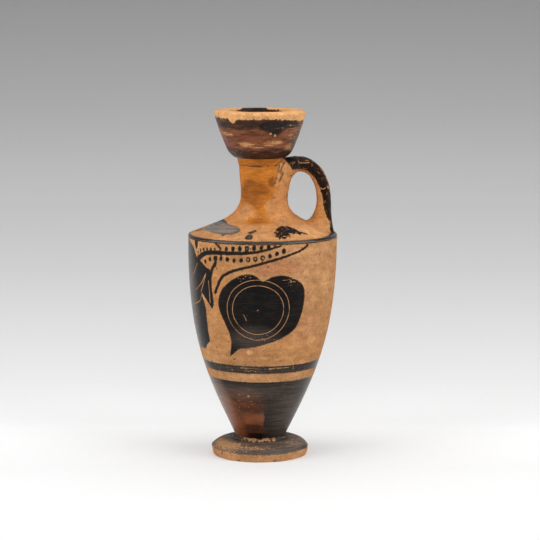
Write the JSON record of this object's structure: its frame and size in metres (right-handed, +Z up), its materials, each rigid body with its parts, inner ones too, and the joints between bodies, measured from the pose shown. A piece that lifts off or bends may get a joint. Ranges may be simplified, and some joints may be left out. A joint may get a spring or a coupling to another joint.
{
  "type": "lekythos",
  "caption": "Slender clay oil flask with a cup mouth, waisted neck, sloping shoulder, tapering body, disc foot and a strap handle.",
  "frame": {"origin": "on the floor, under the middle of the body", "axes": "+Z up along the vessel's axis, +X towards the handle"},
  "size_m": [0.0644, 0.0644, 0.15],
  "materials": {
    "clay": "matt",
    "ochre_wash": "satin",
    "black_gloss": "satin gloss"
  },
  "bodies": {
    "root": {"foot": "clay", "foot_luting": "clay", "body": "clay", "shoulder_luting": "clay", "shoulder": "clay", "neck_luting": "clay", "neck": "ochre_wash", "mouth_luting": "ochre_wash", "mouth": "black_gloss", "handle": "black_gloss", "handle_top_luting": "clay", "handle_root_luting": "clay"}
  },
  "joints": []
}
